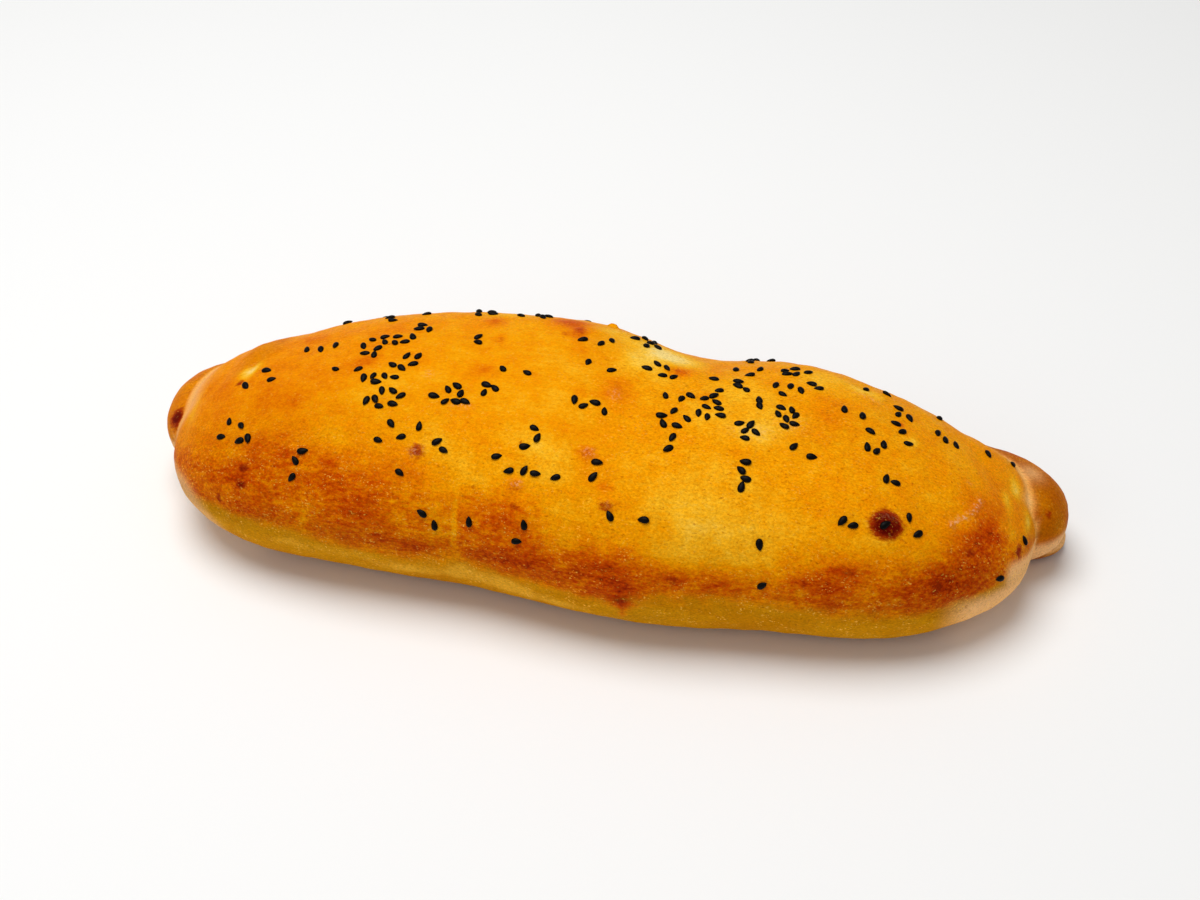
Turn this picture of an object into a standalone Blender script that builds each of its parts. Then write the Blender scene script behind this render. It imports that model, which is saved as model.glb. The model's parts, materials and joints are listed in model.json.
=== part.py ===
"""Closed turkish pide: one long baked loaf with a tucked tip, a tail, and black seeds.

+X runs along the loaf towards the tail, +Y to the back and +Z up. The origin lies on
the floor, under the middle of the loaf's box. Sizes below are in millimetres.
"""

import math
import random

import bmesh
import bpy
from mathutils import Matrix, Vector
from mathutils.bvhtree import BVHTree

for thing in list(bpy.data.objects):
    bpy.data.objects.remove(thing, do_unlink=True)

MM = 0.001
RIGHT_ANGLE = 90.0
FULL_TURN = 360.0
# Middle of the box, in the frame in which the loaf is drawn below
BOX_MIDDLE = Vector((0.59, 1.05, 0.0))

# Loaf

LEFT_END = -123.0
RIGHT_END = 118.5
LEFT_CAP = 81.0
RIGHT_CAP = 68.5
LEFT_CAP_POWER = 2.1
RIGHT_CAP_POWER = 2.25
RINGS = 42
AROUND = 38
# Along the loaf: place, front edge, back edge, height of the crown
STATIONS = (
    (-124, -51, 43, 49),
    (-97, -44, 44, 50),
    (-67, -40, 45, 52),
    (-37, -40, 47, 53.5),
    (-10, -44, 48, 54),
    (18, -46, 43, 52),
    (48, -44, 42, 51),
    (76, -43, 36, 49),
    (118, -42, 33, 40),
)
# Share of the crown's height at which a section is widest
EQUATOR = 0.42
# Point across and height towards which the ends close
END_SIDE = -1.0
END_HEIGHT = 18.0
TOP_POWER = 2.25
LOW_POWER = 2.3
# The underside sags this far below the floor before it is pressed flat
SAG = 6.0

# Swellings and hollows: place along, turn from the crown, length, width, height
WAIST = (28, -42, 20, 20, -3.0)
LEFT_SHOULDER = (-104, -34, 9, 14, 2.5)
HILLS = (WAIST, LEFT_SHOULDER)

# Lobes of folded dough at the ends: middle, half sizes, yaw, pitch, squareness

LEFT_FOLD = ((-93, 6, 23.5), (29, 25, 17.7), 10, -11, 2.3)
TIP = ((-100.5, 9.5, 18), (28.5, 21, 13.3), 6, 2, 2.4)
RIGHT_FOLD = ((93.5, 6, 22.3), (25.5, 18, 15), -6, 17, 2.3)
TAIL = ((103.7, 12.2, 15.5), (25, 16.4, 12.8), -12, 3, 2.4)
TAIL_LIP = ((110.3, 14.1, 3.9), (19.7, 11.6, 4.7), 11, 1, 3.0)
LOBE_ROWS = 10
LOBE_AROUND = 16
# Lobes stop this far above the floor, because only the loaf is pressed flat
LOBE_LIFT = 0.2

# Blisters in the crust: place along, turn from the crown, radius, height

BLISTERS = (
    (77, 41, 4.2, 0.8),
    (-45, 42, 2.6, 0.5),
    (6, 49, 2.4, 0.5),
    (0, 28, 2.4, 0.5),
    (-17, 48, 2.2, 0.5),
    (-3, -47, 1.6, 1.0),
)
BLISTER_AROUND = 8
# Rings of a blister, from its root up, as shares of its radius and height
BLISTER_PROFILE = ((0.9, -1.2), (1.0, -0.1), (0.62, 0.75))
BLISTER_ROOT = 1.4

# Seeds

SEED_LENGTH = 3.0
SEED_WIDTH = 1.8
SEED_THICKNESS = 1.1
SEED_SUNK = 0.35
SEED_GAP = 2.5
SEED_TRIES = 40
SEED_SIDES = 5
# Rings of a seed, as shares of its half length and of its girth
SEED_PROFILE = ((-0.72, 0.78), (0.18, 1.0))
SEED_DRAW = 17
# Seeds and blisters drop onto the skin from this height
SETTLE_FROM = 12.0
# Sprinkled patches: place along, turn, half length, half width, number of seeds
SPRINKLES = (
    (-97, 1, 8, 4, 3),
    (-97, 31, 6, 4, 5),
    (-81, -41, 2, 1, 1),
    (-81, -12, 6, 2, 3),
    (-78, 50, 2, 6, 3),
    (-72, 5, 6, 2, 2),
    (-65, -6, 4, 6, 7),
    (-61, -35, 7, 5, 3),
    (-60, 9, 5, 2, 7),
    (-58, -10, 3, 3, 4),
    (-57, 19, 5, 3, 7),
    (-54, -19, 3, 3, 3),
    (-52, 2, 6, 5, 5),
    (-52, 33, 7, 4, 4),
    (-48, 53, 1, 1, 2),
    (-39, -39, 5, 3, 4),
    (-39, 16, 5, 4, 7),
    (-38, 39, 3, 2, 2),
    (-37, -12, 1, 3, 2),
    (-35, 72, 7, 5, 3),
    (-30, 12, 3, 2, 3),
    (-26, -37, 6, 3, 4),
    (-23, 43, 4, 3, 2),
    (-21, 2, 8, 1, 2),
    (-16, 28, 3, 4, 3),
    (-16, 72, 7, 4, 2),
    (-11, 42, 5, 1, 3),
    (-5, -22, 5, 5, 3),
    (-4, -4, 7, 3, 2),
    (-2, 10, 7, 5, 4),
    (3, 34, 1, 7, 2),
    (8, -36, 5, 5, 6),
    (12, 53, 5, 2, 2),
    (13, -14, 6, 4, 5),
    (19, -2, 5, 2, 3),
    (20, 8, 4, 3, 5),
    (20, 18, 1, 4, 2),
    (29, 2, 4, 6, 8),
    (32, -12, 7, 4, 5),
    (36, -26, 5, 5, 3),
    (37, -48, 2, 2, 2),
    (39, 10, 4, 3, 5),
    (40, 28, 1, 4, 4),
    (41, -3, 2, 2, 3),
    (48, -31, 6, 5, 5),
    (48, -12, 4, 3, 4),
    (49, 2, 4, 4, 7),
    (50, 71, 9, 8, 2),
    (55, 15, 6, 8, 2),
    (57, -19, 3, 2, 2),
    (67, 43, 3, 2, 2),
    (69, -8, 6, 1, 2),
    (72, 3, 4, 4, 4),
    (73, -35, 9, 3, 2),
    (76, 20, 3, 1, 2),
    (77, 40, 1, 1, 1),
    (80, -7, 5, 4, 3),
    (80, -23, 2, 3, 3),
    (84, 38, 2, 3, 2),
    (90, -41, 2, 1, 1),
    (92, -17, 5, 2, 3),
    (106, -38, 6, 8, 2),
    (109, 71, 1, 1, 1),
    (115, 36, 1, 1, 1),
    (-55, -60, 22, 8, 4),
    (5, -64, 18, 8, 3),
    (55, -60, 20, 8, 4),
)


def signed_power(value, power):
    return math.copysign(abs(value) ** power, value)


def along(place, column):
    """Smooth curve through one column of the stations."""
    places = [station[0] for station in STATIONS]
    values = [station[column] for station in STATIONS]
    if place <= places[0]:
        return values[0]
    if place >= places[-1]:
        return values[-1]
    left = max(i for i in range(len(places) - 1) if places[i] <= place)

    def slope(i):
        low, high = max(i - 1, 0), min(i + 1, len(places) - 1)
        return (values[high] - values[low]) / (places[high] - places[low])

    span = places[left + 1] - places[left]
    t = (place - places[left]) / span
    start = (2 * t**3 - 3 * t**2 + 1) * values[left] + (t**3 - 2 * t**2 + t) * span * slope(left)
    end = (3 * t**2 - 2 * t**3) * values[left + 1] + (t**3 - t**2) * span * slope(left + 1)
    return start + end


def closing(place):
    """Share of its full section that the loaf keeps here: 1 in the middle, 0 at the ends."""
    if place < LEFT_END + LEFT_CAP:
        t, power = (place - LEFT_END) / LEFT_CAP, LEFT_CAP_POWER
    elif place > RIGHT_END - RIGHT_CAP:
        t, power = (RIGHT_END - place) / RIGHT_CAP, RIGHT_CAP_POWER
    else:
        return 1.0
    t = min(max(t, 0.0), 1.0)
    return (1 - (1 - t) ** power) ** (1 / power)


def section(place):
    """Centre line, half width, height of the equator, rise above it and depth below it."""
    share = closing(place)
    front, back, crown = (along(place, column) for column in (1, 2, 3))
    middle = crown * EQUATOR
    height = END_HEIGHT + (middle - END_HEIGHT) * share
    centre = END_SIDE + ((front + back) / 2 - END_SIDE) * share
    half_width = (back - front) / 2 * share
    return centre, half_width, height, (crown - middle) * share, (middle + SAG) * share


def plain_point(place, turn):
    """Point of the loaf without swellings. Turn is 0 at the crown, 90 in front, 180 below."""
    centre, half_width, height, rise, depth = section(place)
    across, upward = math.sin(math.radians(turn)), math.cos(math.radians(turn))
    power = 2 / (TOP_POWER if upward >= 0 else LOW_POWER)
    y = centre - half_width * signed_power(across, power)
    z = height + (rise if upward >= 0 else depth) * signed_power(upward, power)
    return Vector((place, y, z))


def loaf_point(place, turn):
    """Point of the loaf's surface, pressed flat where it meets the floor."""
    point = plain_point(place, turn)
    swelling = 0.0
    for hill_place, hill_turn, length, width, height in HILLS:
        away = point - plain_point(hill_place, hill_turn)
        across = math.hypot(away.y, away.z)
        swelling += height * math.exp(-((away.x / length) ** 2) - (across / width) ** 2)
    _, half_width, _, rise, _ = section(place)
    outward = Vector(
        (0, -math.sin(math.radians(turn)) * rise, math.cos(math.radians(turn)) * half_width)
    )
    if outward.length > 0:
        point = point + swelling * outward.normalized()
    point.z = max(point.z, 0.0)
    return point


def frame_at(place, turn, quarter=0.0):
    """Matrix with its origin on the crust and +Z square to it, turned by quarter degrees."""
    step = 0.5
    here = loaf_point(place, turn)
    lengthwise = loaf_point(place + step, turn) - loaf_point(place - step, turn)
    around = loaf_point(place, turn + step) - loaf_point(place, turn - step)
    normal = around.cross(lengthwise).normalized()
    side = lengthwise.normalized()
    turned = Matrix.Rotation(math.radians(quarter), 3, normal) @ side
    third = normal.cross(turned)
    matrix = Matrix((turned, third, normal)).transposed().to_4x4()
    matrix.translation = here
    return matrix


def solid_from_rings(name, start, rings, end):
    """Closed mesh through rings of points, with a point at each end."""
    mesh = bpy.data.meshes.new(name)
    form = bmesh.new()
    first = form.verts.new(start * MM)
    rows = [[form.verts.new(point * MM) for point in ring] for ring in rings]
    last = form.verts.new(end * MM)
    count = len(rows[0])
    for j in range(count):
        k = (j + 1) % count
        form.faces.new((first, rows[0][k], rows[0][j]))
        form.faces.new((last, rows[-1][j], rows[-1][k]))
        for near, far in zip(rows, rows[1:]):
            form.faces.new((near[j], near[k], far[k], far[j]))
    bmesh.ops.recalc_face_normals(form, faces=form.faces)
    form.to_mesh(mesh)
    form.free()
    return bpy.data.objects.new(name, mesh)


def make_loaf(name):
    """Rings crowd towards the ends, where the loaf closes."""
    middle, half = (LEFT_END + RIGHT_END) / 2, (RIGHT_END - LEFT_END) / 2
    rings = []
    for i in range(1, RINGS):
        place = middle - half * math.cos(math.pi * i / RINGS)
        turns = [FULL_TURN * j / AROUND - RIGHT_ANGLE for j in range(AROUND)]
        rings.append([loaf_point(place, turn) for turn in turns])
    ends = [loaf_point(place, 0) for place in (LEFT_END, RIGHT_END)]
    return solid_from_rings(name, ends[0], rings, ends[1])


def make_lobe(name, middle, half_sizes, yaw, pitch, square):
    """Rounded block of dough, cut off level just above the floor."""
    place = Matrix.Translation(middle) @ Matrix.Rotation(math.radians(yaw), 4, "Z")
    place = place @ Matrix.Rotation(math.radians(pitch), 4, "Y")
    power = 2 / square

    def point(row, column):
        t = math.pi * row / LOBE_ROWS
        a = 2 * math.pi * column / LOBE_AROUND
        girth = abs(math.sin(t)) ** power
        local = Vector(
            (
                -half_sizes[0] * signed_power(math.cos(t), power),
                half_sizes[1] * girth * signed_power(math.cos(a), power),
                half_sizes[2] * girth * signed_power(math.sin(a), power),
            )
        )
        found = place @ local
        found.z = max(found.z, LOBE_LIFT)
        return found

    rings = [[point(i, j) for j in range(LOBE_AROUND)] for i in range(1, LOBE_ROWS)]
    return solid_from_rings(name, point(0, 0), rings, point(LOBE_ROWS, 0))


def make_blister(name, frame, radius, height):
    """Low dome whose underside lies inside the crust."""
    rings = []
    angles = [2 * math.pi * j / BLISTER_AROUND for j in range(BLISTER_AROUND)]
    for share, level in BLISTER_PROFILE:
        reach = radius * share
        flat = [Vector((reach * math.cos(a), reach * math.sin(a), level * height)) for a in angles]
        rings.append([frame @ point for point in flat])
    under, top = Vector((0, 0, -BLISTER_ROOT * height)), Vector((0, 0, height))
    return solid_from_rings(name, frame @ under, rings, frame @ top)


def make_seed(name, frame):
    """Flattened drop, blunt at one end and pointed at the other, part sunk in the crust."""
    half_length, half_width = SEED_LENGTH / 2, SEED_WIDTH / 2
    half_height = SEED_THICKNESS / 2
    lift = SEED_THICKNESS * (0.5 - SEED_SUNK)
    rings = []
    for reach, girth in SEED_PROFILE:
        points = []
        for j in range(SEED_SIDES):
            a = 2 * math.pi * j / SEED_SIDES + math.pi / 2
            y = half_width * girth * math.cos(a)
            z = half_height * girth * math.sin(a) + lift
            points.append(frame @ Vector((half_length * reach, y, z)))
        rings.append(points)
    blunt, tip = (frame @ Vector((reach * half_length, 0, lift)) for reach in (-1.0, 1.0))
    return solid_from_rings(name, blunt, rings, tip)


def seed_frames():
    """Places for the seeds: a seeded draw in each sprinkled patch that keeps them apart."""
    draw = random.Random(SEED_DRAW)
    frames = []
    for place, turn, half_length, half_width, number in SPRINKLES:
        girth = (loaf_point(place, turn + 1) - loaf_point(place, turn - 1)).length / 2
        for _ in range(number):
            for _ in range(SEED_TRIES):
                reach, angle = math.sqrt(draw.random()), draw.uniform(0, 2 * math.pi)
                seed_place = place + half_length * reach * math.cos(angle)
                seed_turn = turn + half_width * reach * math.sin(angle) / girth
                frame = frame_at(seed_place, seed_turn, draw.uniform(0, FULL_TURN))
                spot = frame.translation
                if all((spot - other.translation).length > SEED_GAP for other in frames):
                    frames.append(frame)
                    break
    return frames


def settle(frame, skin):
    """The same frame, moved along its +Z onto the skin of the loaf and its folds."""
    normal = frame.to_3x3() @ Vector((0, 0, 1))
    above = (frame.translation + SETTLE_FROM * normal) * MM
    spot = skin.ray_cast(above, -normal)[0]
    if spot is None:
        return frame
    settled = frame.copy()
    settled.translation = spot / MM
    return settled


def join(body, pieces):
    """Fuses the pieces to the body and keeps the one outer skin."""
    group = bpy.data.collections.new("fused")
    for piece in pieces:
        group.objects.link(piece)
    bpy.context.scene.collection.children.link(group)
    union = body.modifiers.new("union", "BOOLEAN")
    union.operation = "UNION"
    union.operand_type = "COLLECTION"
    union.collection = group
    union.solver = "EXACT"
    bpy.context.view_layer.objects.active = body
    bpy.ops.object.modifier_apply(modifier=union.name)
    for piece in list(group.objects):
        bpy.data.objects.remove(piece, do_unlink=True)
    bpy.data.collections.remove(group)

    form = bmesh.new()
    form.from_mesh(body.data)
    left = set(form.verts)
    skins = []
    while left:
        found = {left.pop()}
        front = list(found)
        while front:
            vert = front.pop()
            for edge in vert.link_edges:
                other = edge.other_vert(vert)
                if other in left:
                    left.discard(other)
                    found.add(other)
                    front.append(other)
        skins.append(found)
    skins.sort(key=len)
    loose = [vert for skin in skins[:-1] for vert in skin]
    bmesh.ops.delete(form, geom=loose, context="VERTS")
    bmesh.ops.triangulate(form, faces=form.faces)
    form.to_mesh(body.data)
    form.free()


def baked_crust():
    crust = bpy.data.materials.new("baked_crust")
    crust.use_nodes = True
    surface = crust.node_tree.nodes["Principled BSDF"]
    surface.inputs["Base Color"].default_value = (0.76, 0.30, 0.03, 1.0)
    surface.inputs["Roughness"].default_value = 0.42
    crust.diffuse_color = (0.76, 0.30, 0.03, 1.0)
    return crust


pide = make_loaf("pide")
bpy.context.scene.collection.objects.link(pide)
lobes = (LEFT_FOLD, TIP, RIGHT_FOLD, TAIL, TAIL_LIP)
join(pide, [make_lobe(f"lobe_{i}", *row) for i, row in enumerate(lobes)])
corners = [vert.co.copy() for vert in pide.data.vertices]
skin = BVHTree.FromPolygons(corners, [tuple(face.vertices) for face in pide.data.polygons])
additions = []
for i, (place, turn, radius, height) in enumerate(BLISTERS):
    frame = settle(frame_at(place, turn), skin)
    additions.append(make_blister(f"blister_{i}", frame, radius, height))
for i, frame in enumerate(seed_frames()):
    additions.append(make_seed(f"seed_{i}", settle(frame, skin)))
join(pide, additions)
pide.data.transform(Matrix.Translation(-BOX_MIDDLE * MM))
pide.data.materials.append(baked_crust())
pide.data.shade_smooth()
pide.data.set_sharp_from_angle(angle=math.radians(50))
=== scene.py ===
"""Looks of a closed turkish pide: a glazed golden crust, browned low on its sides, with black seeds."""

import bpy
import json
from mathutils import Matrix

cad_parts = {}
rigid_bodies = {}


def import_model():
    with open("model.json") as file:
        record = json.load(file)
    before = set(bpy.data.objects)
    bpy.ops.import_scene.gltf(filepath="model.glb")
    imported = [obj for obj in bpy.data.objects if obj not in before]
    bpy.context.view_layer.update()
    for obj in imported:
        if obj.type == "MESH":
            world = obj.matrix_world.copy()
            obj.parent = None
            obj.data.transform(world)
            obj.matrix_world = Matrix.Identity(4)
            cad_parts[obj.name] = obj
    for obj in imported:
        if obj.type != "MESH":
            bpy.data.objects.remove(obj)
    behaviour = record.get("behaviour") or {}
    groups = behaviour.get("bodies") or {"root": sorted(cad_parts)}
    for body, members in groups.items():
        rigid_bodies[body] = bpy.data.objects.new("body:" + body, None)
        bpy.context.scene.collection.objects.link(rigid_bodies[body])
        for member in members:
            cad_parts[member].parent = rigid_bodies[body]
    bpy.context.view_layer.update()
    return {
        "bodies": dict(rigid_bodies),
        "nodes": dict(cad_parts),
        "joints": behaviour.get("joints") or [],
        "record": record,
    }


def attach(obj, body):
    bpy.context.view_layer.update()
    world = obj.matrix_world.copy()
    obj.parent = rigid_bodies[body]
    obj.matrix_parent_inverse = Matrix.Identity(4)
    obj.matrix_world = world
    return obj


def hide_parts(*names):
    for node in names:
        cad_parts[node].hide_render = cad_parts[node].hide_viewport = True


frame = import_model()

# Crust
# The real piece is one long parcel of yeasted dough, pinched shut and tucked under at both ends.
# It's brushed with egg and baked on a hot stone, so its crown is golden, its lower sides brown
# and the strip by the stone pale. Here it's the loaf and its folds, fused and softened.

import math
import random

import bmesh
import bpy
import numpy as np
from mathutils import Matrix, Vector
from mathutils.bvhtree import BVHTree

MM = 0.001
# Middle of the solid's box, in the frame in which the loaf is drawn below, in millimetres
BOX_MIDDLE = Vector((0.59, 1.05, 0.0))

# Ends of the loaf in mm, the length over which each closes, and how bluntly: 2 is an ellipse
LEFT_END, RIGHT_END = -123.0, 118.5
LEFT_CAP, RIGHT_CAP = 81.0, 68.5
LEFT_CAP_POWER, RIGHT_CAP_POWER = 2.1, 2.25
# Along the loaf: place, front edge, back edge, height of the crown
STATIONS = (
    (-124, -51, 43, 49),
    (-97, -44, 44, 50),
    (-67, -40, 45, 52),
    (-37, -40, 47, 53.5),
    (-10, -44, 48, 54),
    (18, -46, 43, 52),
    (48, -44, 42, 51),
    (76, -43, 36, 49),
    (118, -42, 33, 40),
)
# Height of the section's widest line, as a share of its crown's
EQUATOR = 0.42
# Point across and height towards which the ends close
END_SIDE, END_HEIGHT = -1.0, 18.0
# Squareness of the section above and below its widest line: 2 is an ellipse
TOP_POWER, LOW_POWER = 2.25, 2.3
# How far the section would sag below the floor in mm if the floor didn't press it flat
SAG = 6.0
# Swellings and hollows: place along, turn from the crown, length, width, height
HILLS = ((28, -42, 20, 20, -3.0), (-104, -34, 9, 14, 2.5))
# Folds at the ends: middle, half sizes, yaw, pitch, squareness
LEFT_FOLD = ((-93, 6, 23.5), (29, 25, 17.7), 10, -11, 2.3)
TIP = ((-100.5, 9.5, 18), (28.5, 21, 13.3), 6, 2, 2.4)
RIGHT_FOLD = ((93.5, 6, 22.3), (25.5, 18, 15), -6, 17, 2.3)
TAIL = ((103.7, 12.2, 15.5), (25, 16.4, 12.8), -12, 3, 2.4)
TAIL_LIP = ((110.3, 14.1, 3.9), (19.7, 11.6, 4.7), 11, 1, 3.0)
# Height in mm at which they're cut off level, just above the floor
LOBE_LIFT = 0.2


def signed_power(value, power):
    return math.copysign(abs(value) ** power, value)


def along(place, column):
    """Smooth curve through one column of the stations."""
    places = [station[0] for station in STATIONS]
    values = [station[column] for station in STATIONS]
    if place <= places[0]:
        return values[0]
    if place >= places[-1]:
        return values[-1]
    left = max(i for i in range(len(places) - 1) if places[i] <= place)

    def slope(i):
        low, high = max(i - 1, 0), min(i + 1, len(places) - 1)
        return (values[high] - values[low]) / (places[high] - places[low])

    span = places[left + 1] - places[left]
    t = (place - places[left]) / span
    start = (2 * t**3 - 3 * t**2 + 1) * values[left] + (t**3 - 2 * t**2 + t) * span * slope(left)
    end = (3 * t**2 - 2 * t**3) * values[left + 1] + (t**3 - t**2) * span * slope(left + 1)
    return start + end


def closing(place):
    """Share of its full section that the loaf keeps here."""
    if place < LEFT_END + LEFT_CAP:
        t, power = (place - LEFT_END) / LEFT_CAP, LEFT_CAP_POWER
    elif place > RIGHT_END - RIGHT_CAP:
        t, power = (RIGHT_END - place) / RIGHT_CAP, RIGHT_CAP_POWER
    else:
        return 1.0
    t = min(max(t, 0.0), 1.0)
    return (1 - (1 - t) ** power) ** (1 / power)


def section(place):
    """Centre line, half width, height of the equator, rise above it and depth below it."""
    share = closing(place)
    front, back, crown = (along(place, column) for column in (1, 2, 3))
    middle = crown * EQUATOR
    height = END_HEIGHT + (middle - END_HEIGHT) * share
    centre = END_SIDE + ((front + back) / 2 - END_SIDE) * share
    half_width = (back - front) / 2 * share
    return centre, half_width, height, (crown - middle) * share, (middle + SAG) * share


def plain_point(place, turn):
    """Point of the loaf without swellings. Turn is 0 at the crown, 90 in front, 180 below."""
    centre, half_width, height, rise, depth = section(place)
    across, upward = math.sin(math.radians(turn)), math.cos(math.radians(turn))
    power = 2 / (TOP_POWER if upward >= 0 else LOW_POWER)
    y = centre - half_width * signed_power(across, power)
    z = height + (rise if upward >= 0 else depth) * signed_power(upward, power)
    return Vector((place, y, z))


def loaf_point(place, turn):
    """Point of the loaf's surface, pressed flat where it meets the floor."""
    point = plain_point(place, turn)
    swelling = 0.0
    for hill_place, hill_turn, length, width, height in HILLS:
        away = point - plain_point(hill_place, hill_turn)
        across = math.hypot(away.y, away.z)
        swelling += height * math.exp(-((away.x / length) ** 2) - (across / width) ** 2)
    _, half_width, _, rise, _ = section(place)
    outward = Vector(
        (0, -math.sin(math.radians(turn)) * rise, math.cos(math.radians(turn)) * half_width)
    )
    if outward.length > 0:
        point = point + swelling * outward.normalized()
    point.z = max(point.z, 0.0)
    return point


def add_rings(form, start, rings, end):
    """Adds a closed skin through rings of points in millimetres, with a point at each end."""
    first = form.verts.new((start - BOX_MIDDLE) * MM)
    rows = [[form.verts.new((point - BOX_MIDDLE) * MM) for point in ring] for ring in rings]
    last = form.verts.new((end - BOX_MIDDLE) * MM)
    count = len(rows[0])
    for j in range(count):
        k = (j + 1) % count
        form.faces.new((first, rows[0][k], rows[0][j]))
        form.faces.new((last, rows[-1][j], rows[-1][k]))
        for near, far in zip(rows, rows[1:]):
            form.faces.new((near[j], near[k], far[k], far[j]))


def lobe_rings(middle, half_sizes, yaw, pitch, square, rows=40, around=64):
    """Rounded block of dough, cut off level just above the floor."""
    place = Matrix.Translation(middle) @ Matrix.Rotation(math.radians(yaw), 4, "Z")
    place = place @ Matrix.Rotation(math.radians(pitch), 4, "Y")
    power = 2 / square

    def point(row, column):
        t, a = math.pi * row / rows, 2 * math.pi * column / around
        girth = abs(math.sin(t)) ** power
        local = Vector(
            (
                -half_sizes[0] * signed_power(math.cos(t), power),
                half_sizes[1] * girth * signed_power(math.cos(a), power),
                half_sizes[2] * girth * signed_power(math.sin(a), power),
            )
        )
        found = place @ local
        found.z = max(found.z, LOBE_LIFT)
        return found

    rings = [[point(i, j) for j in range(around)] for i in range(1, rows)]
    return point(0, 0), rings, point(rows, 0)


LOAF_RINGS, LOAF_AROUND = 150, 120
# The loaf and its folds are fused into one skin with cells of this size in mm, then softened
VOXEL = 0.82
SOFTENING, SOFTENING_PASSES = 0.5, 8
form = bmesh.new()
middle, half = (LEFT_END + RIGHT_END) / 2, (RIGHT_END - LEFT_END) / 2
places = [middle - half * math.cos(math.pi * i / LOAF_RINGS) for i in range(1, LOAF_RINGS)]
turns = [360 * j / LOAF_AROUND - 90 for j in range(LOAF_AROUND)]
loaf_rings = [[loaf_point(place, turn) for turn in turns] for place in places]
add_rings(form, loaf_point(LEFT_END, 0), loaf_rings, loaf_point(RIGHT_END, 0))
for lobe in (LEFT_FOLD, TIP, RIGHT_FOLD, TAIL, TAIL_LIP):
    add_rings(form, *lobe_rings(*lobe))
bmesh.ops.recalc_face_normals(form, faces=form.faces)
crust_mesh = bpy.data.meshes.new("crust")
form.to_mesh(crust_mesh)
form.free()
crust = bpy.data.objects.new("crust", crust_mesh)
bpy.context.scene.collection.objects.link(crust)
fuse = crust.modifiers.new("fuse", "REMESH")
fuse.mode = "VOXEL"
fuse.voxel_size = VOXEL * MM
fuse.adaptivity = 0.0
soften = crust.modifiers.new("soften", "SMOOTH")
soften.factor = SOFTENING
soften.iterations = SOFTENING_PASSES
bpy.context.view_layer.objects.active = crust
for modifier in (fuse, soften):
    bpy.ops.object.modifier_apply(modifier=modifier.name)


def points_of(obj):
    """Points of a mesh in millimetres, in the frame in which the loaf is drawn."""
    flat = np.empty(len(obj.data.vertices) * 3)
    obj.data.vertices.foreach_get("co", flat)
    return flat.reshape(-1, 3) / MM + np.array(BOX_MIDDLE)


def loaf_coordinates(points):
    """Place along, turn from the crown in degrees, and distance outside the loaf."""
    table_places = np.arange(LEFT_END + 0.5, RIGHT_END - 0.4, 0.5)
    table = np.array([section(place) for place in table_places])
    place = np.clip(points[:, 0], table_places[0], table_places[-1])
    centre, half_width, height, rise, depth = (
        np.interp(place, table_places, column) for column in table.T
    )
    across = (centre - points[:, 1]) / half_width
    upward = (points[:, 2] - height) / np.where(points[:, 2] > height, rise, depth)
    power = np.where(upward >= 0, TOP_POWER, LOW_POWER) / 2
    round_across = np.sign(across) * np.abs(across) ** power
    round_upward = np.sign(upward) * np.abs(upward) ** power
    turn = np.degrees(np.arctan2(round_across, round_upward))
    reach = np.hypot(round_across, round_upward) ** (1 / power)
    size = np.hypot(points[:, 1] - centre, points[:, 2] - height)
    beyond = np.abs(points[:, 0] - place)
    return place, turn, np.maximum(size * (1 - 1 / np.maximum(reach, 0.01)), beyond)


def lobe_distance(points, middle, half_sizes, yaw, pitch, square):
    """Distance outside a fold in millimetres, below zero inside it."""
    turned = Matrix.Rotation(math.radians(yaw), 3, "Z") @ Matrix.Rotation(math.radians(pitch), 3, "Y")
    local = (points - np.array(middle)) @ np.array(turned)
    reach = (np.abs(local / np.array(half_sizes)) ** square).sum(axis=1) ** (1 / square)
    return np.linalg.norm(local, axis=1) * (1 - 1 / np.maximum(reach, 0.01))


def ramp(value, low, high):
    """Smooth step from 0 at low to 1 at high, either way round."""
    t = np.clip((value - low) / (high - low), 0, 1)
    return t * t * (3 - 2 * t)


def waves(points, size, count, seed):
    """Uneven swell of about the given size in millimetres, mostly from -1 to 1."""
    draw = np.random.default_rng(seed)
    total = np.zeros(len(points))
    for _ in range(count):
        direction = draw.normal(size=3)
        direction /= np.linalg.norm(direction)
        length = size * draw.uniform(0.7, 1.4)
        total += np.sin(2 * np.pi * (points @ direction) / length + draw.uniform(0, 2 * np.pi))
    return total / math.sqrt(count)


def marks(place, turn, rows, sharp=1.0):
    """Sum of soft spots: place along, turn, half length in mm, half width in degrees, strength."""
    total = np.zeros(len(place))
    for spot_place, spot_turn, length, width, strength in rows:
        far = ((place - spot_place) / length) ** 2 + ((turn - spot_turn) / width) ** 2
        total += strength * np.exp(-(far**sharp))
    return total


# Blisters that stand up from the crust: place, turn, radius in mm, half width in degrees, height
BLISTERS = (
    (77, 41, 4.0, 5.6, 0.8),
    (-44.5, 42, 2.4, 3.2, 0.5),
    (6.5, 49, 2.2, 3.0, 0.5),
    (-0.5, 30, 2.2, 3.0, 0.5),
    (-17.5, 48.5, 2.0, 2.8, 0.45),
    (3.5, 3, 2.4, 3.0, 0.4),
    (-10.5, -25, 2.6, 3.6, 0.4),
    (-35.5, 19, 2.2, 2.2, 0.35),
    (-3, -47, 1.4, 1.8, 1.0),
)
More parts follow.
